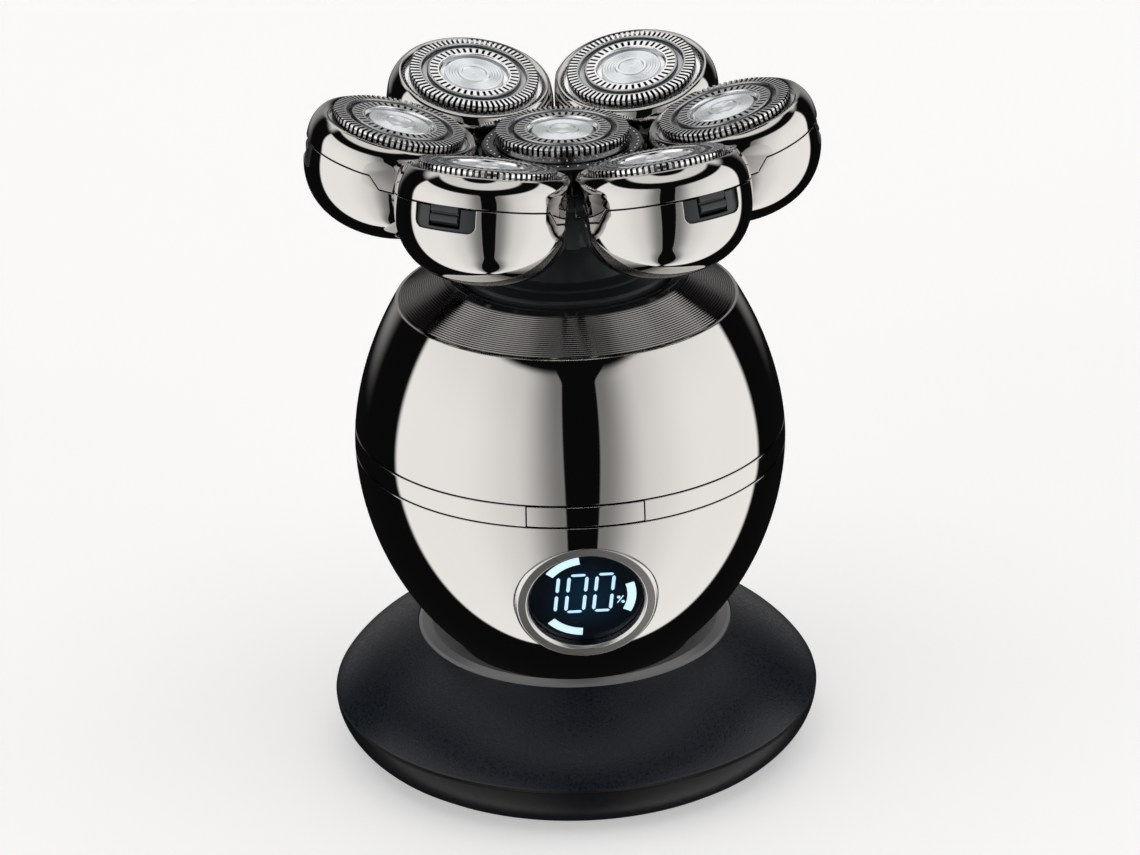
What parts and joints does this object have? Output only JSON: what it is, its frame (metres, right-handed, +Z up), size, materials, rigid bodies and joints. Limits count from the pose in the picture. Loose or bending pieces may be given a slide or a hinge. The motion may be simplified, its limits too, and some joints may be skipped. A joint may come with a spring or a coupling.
{
  "type": "rotary head shaver with charging base",
  "caption": "Ball-shaped rotary head shaver with round cutters on lidded tilting pods, geared drive, round display and button, standing in a round charging base.",
  "frame": {"origin": "on the table, under the middle of the charging base", "axes": "+Z up along the axis of base, handset and head; display and power button face -Y; power inlet faces +Y; pod 1 points along +X and the others follow every 60 degrees anticlockwise seen from above"},
  "size_m": [0.0758, 0.0746, 0.1028],
  "materials": {
    "satin_black": "satin black moulding with a fine speckle",
    "ring_grey": "pale grey translucent ring",
    "plain_steel": "plain steel",
    "board_green": "green circuit board",
    "gold_contact": "gold-plated brass",
    "rubber_black": "soft black rubber",
    "plated_shell": "dark gunmetal chrome plating, mirror polished",
    "grooved_metal": "dark gunmetal chrome with fine turned grooves",
    "gloss_black": "glossy black moulding",
    "bezel_silver": "satin silver ring",
    "dark_glass": "tinted flat window",
    "display_face": "dark display with light cyan segments",
    "cell_sleeve": "blue cell sleeve",
    "slate_plastic": "matte dark slate moulding",
    "foil_steel": "bright stainless steel",
    "blade_steel": "ground steel",
    "gear_plastic": "natural acetal"
  },
  "bodies": {
    "base": {"base_cover": "satin_black", "base_bottom": "satin_black", "recess_ring": "ring_grey", "base_weight": "plain_steel", "base_board": "board_green", "charge_pins": "gold_contact", "foot_pad": "rubber_black", "base_screws": "plain_steel"},
    "handset": {"upper_shell": "plated_shell", "lower_shell": "plated_shell", "band_ring": "plated_shell", "grooved_collar": "grooved_metal", "coupling_dish": "gloss_black", "display_bezel": "bezel_silver", "display_glass": "dark_glass", "display_module": "display_face", "main_board": "board_green", "battery": "cell_sleeve", "motor": "plain_steel", "chassis": "satin_black", "charge_contacts": "gold_contact"},
    "button": {"power_button": "plated_shell"},
    "drive": {"drive_shaft": "plain_steel"},
    "head": {"neck_housing": "slate_plastic", "gearbox_cover": "slate_plastic", "centre_cover": "gloss_black", "centre_foil": "foil_steel"},
    "sun": {"sun_gear": "gear_plastic", "centre_cutter": "blade_steel"},
    "pod_1": {"bowl_1": "plated_shell", "hinge_block_1": "slate_plastic"},
    "lid_1": {"cover_1": "plated_shell", "foil_1": "foil_steel"},
    "rotor_1": {"cutter_1": "blade_steel"},
    "pod_2": {"bowl_2": "plated_shell", "hinge_block_2": "slate_plastic"},
    "lid_2": {"cover_2": "plated_shell", "foil_2": "foil_steel"},
    "rotor_2": {"cutter_2": "blade_steel"},
    "pod_3": {"bowl_3": "plated_shell", "hinge_block_3": "slate_plastic"},
    "lid_3": {"cover_3": "plated_shell", "foil_3": "foil_steel"},
    "rotor_3": {"cutter_3": "blade_steel"},
    "pod_4": {"bowl_4": "plated_shell", "hinge_block_4": "slate_plastic"},
    "lid_4": {"cover_4": "plated_shell", "foil_4": "foil_steel"},
    "rotor_4": {"cutter_4": "blade_steel"},
    "pod_5": {"bowl_5": "plated_shell", "hinge_block_5": "slate_plastic"},
    "lid_5": {"cover_5": "plated_shell", "foil_5": "foil_steel"},
    "rotor_5": {"cutter_5": "blade_steel"},
    "pod_6": {"bowl_6": "plated_shell", "hinge_block_6": "slate_plastic"},
    "lid_6": {"cover_6": "plated_shell", "foil_6": "foil_steel"},
    "rotor_6": {"cutter_6": "blade_steel"}
  },
  "joints": [
    {"name": "handset_lift", "type": "slide", "parent": "base", "child": "handset", "axis": [0, 0, 1], "range_m": [0, 0.03]},
    {"name": "power_press", "type": "slide", "parent": "handset", "child": "button", "axis": [0, 1, 0], "range_m": [0, 0.0008], "stiffness_N_per_m": 800, "springref_m": -0.001},
    {"name": "drive_spin", "type": "hinge", "parent": "handset", "child": "drive", "pos_m": [0, 0, 0.07], "axis": [0, 0, 1], "continuous": true},
    {"name": "head_pull", "type": "slide", "parent": "handset", "child": "head", "axis": [0, 0, 1], "range_m": [0, 0.02]},
    {"name": "sun_spin", "type": "hinge", "parent": "head", "child": "sun", "pos_m": [0, 0, 0.088], "axis": [0, 0, 1], "continuous": true},
    {"name": "pod_tilt_1", "type": "hinge", "parent": "head", "child": "pod_1", "pos_m": [0.0136, 0, 0.0866], "axis": [0, 1, 0], "range_deg": [0, 5], "stiffness_Nm_per_rad": 0.03, "springref_deg": -14.32},
    {"name": "lid_open_1", "type": "hinge", "parent": "pod_1", "child": "lid_1", "pos_m": [0.03628, 0, 0.09675], "axis": [0, 1, 0], "range_deg": [0, 95]},
    {"name": "cutter_spin_1", "type": "hinge", "parent": "pod_1", "child": "rotor_1", "pos_m": [0.02492, 0, 0.09547], "axis": [-0.2588, 0, 0.9659], "continuous": true},
    {"name": "pod_tilt_2", "type": "hinge", "parent": "head", "child": "pod_2", "pos_m": [0.0068, 0.01178, 0.0866], "axis": [-0.866, 0.5, 0], "range_deg": [0, 5], "stiffness_Nm_per_rad": 0.03, "springref_deg": -14.32},
    {"name": "lid_open_2", "type": "hinge", "parent": "pod_2", "child": "lid_2", "pos_m": [0.01814, 0.03142, 0.09675], "axis": [-0.866, 0.5, 0], "range_deg": [0, 95]},
    {"name": "cutter_spin_2", "type": "hinge", "parent": "pod_2", "child": "rotor_2", "pos_m": [0.01246, 0.02158, 0.09547], "axis": [-0.1294, -0.2241, 0.9659], "continuous": true},
    {"name": "pod_tilt_3", "type": "hinge", "parent": "head", "child": "pod_3", "pos_m": [-0.0068, 0.01178, 0.0866], "axis": [-0.866, -0.5, 0], "range_deg": [0, 5], "stiffness_Nm_per_rad": 0.03, "springref_deg": -14.32},
    {"name": "lid_open_3", "type": "hinge", "parent": "pod_3", "child": "lid_3", "pos_m": [-0.01814, 0.03142, 0.09675], "axis": [-0.866, -0.5, 0], "range_deg": [0, 95]},
    {"name": "cutter_spin_3", "type": "hinge", "parent": "pod_3", "child": "rotor_3", "pos_m": [-0.01246, 0.02158, 0.09547], "axis": [0.1294, -0.2241, 0.9659], "continuous": true},
    {"name": "pod_tilt_4", "type": "hinge", "parent": "head", "child": "pod_4", "pos_m": [-0.0136, 0, 0.0866], "axis": [0, -1, 0], "range_deg": [0, 5], "stiffness_Nm_per_rad": 0.03, "springref_deg": -14.32},
    {"name": "lid_open_4", "type": "hinge", "parent": "pod_4", "child": "lid_4", "pos_m": [-0.03628, 0, 0.09675], "axis": [0, -1, 0], "range_deg": [0, 95]},
    {"name": "cutter_spin_4", "type": "hinge", "parent": "pod_4", "child": "rotor_4", "pos_m": [-0.02492, 0, 0.09547], "axis": [0.2588, 0, 0.9659], "continuous": true},
    {"name": "pod_tilt_5", "type": "hinge", "parent": "head", "child": "pod_5", "pos_m": [-0.0068, -0.01178, 0.0866], "axis": [0.866, -0.5, 0], "range_deg": [0, 5], "stiffness_Nm_per_rad": 0.03, "springref_deg": -14.32},
    {"name": "lid_open_5", "type": "hinge", "parent": "pod_5", "child": "lid_5", "pos_m": [-0.01814, -0.03142, 0.09675], "axis": [0.866, -0.5, 0], "range_deg": [0, 95]},
    {"name": "cutter_spin_5", "type": "hinge", "parent": "pod_5", "child": "rotor_5", "pos_m": [-0.01246, -0.02158, 0.09547], "axis": [0.1294, 0.2241, 0.9659], "continuous": true},
    {"name": "pod_tilt_6", "type": "hinge", "parent": "head", "child": "pod_6", "pos_m": [0.0068, -0.01178, 0.0866], "axis": [0.866, 0.5, 0], "range_deg": [0, 5], "stiffness_Nm_per_rad": 0.03, "springref_deg": -14.32},
    {"name": "lid_open_6", "type": "hinge", "parent": "pod_6", "child": "lid_6", "pos_m": [0.01814, -0.03142, 0.09675], "axis": [0.866, 0.5, 0], "range_deg": [0, 95]},
    {"name": "cutter_spin_6", "type": "hinge", "parent": "pod_6", "child": "rotor_6", "pos_m": [0.01246, -0.02158, 0.09547], "axis": [-0.1294, 0.2241, 0.9659], "continuous": true}
  ],
  "couplings": [
    {"joint": "drive_spin", "follows": "sun_spin", "ratio": 1},
    {"joint": "cutter_spin_1", "follows": "sun_spin", "ratio": -1.5652},
    {"joint": "cutter_spin_2", "follows": "sun_spin", "ratio": -1.5652},
    {"joint": "cutter_spin_3", "follows": "sun_spin", "ratio": -1.5652},
    {"joint": "cutter_spin_4", "follows": "sun_spin", "ratio": -1.5652},
    {"joint": "cutter_spin_5", "follows": "sun_spin", "ratio": -1.5652},
    {"joint": "cutter_spin_6", "follows": "sun_spin", "ratio": -1.5652}
  ]
}
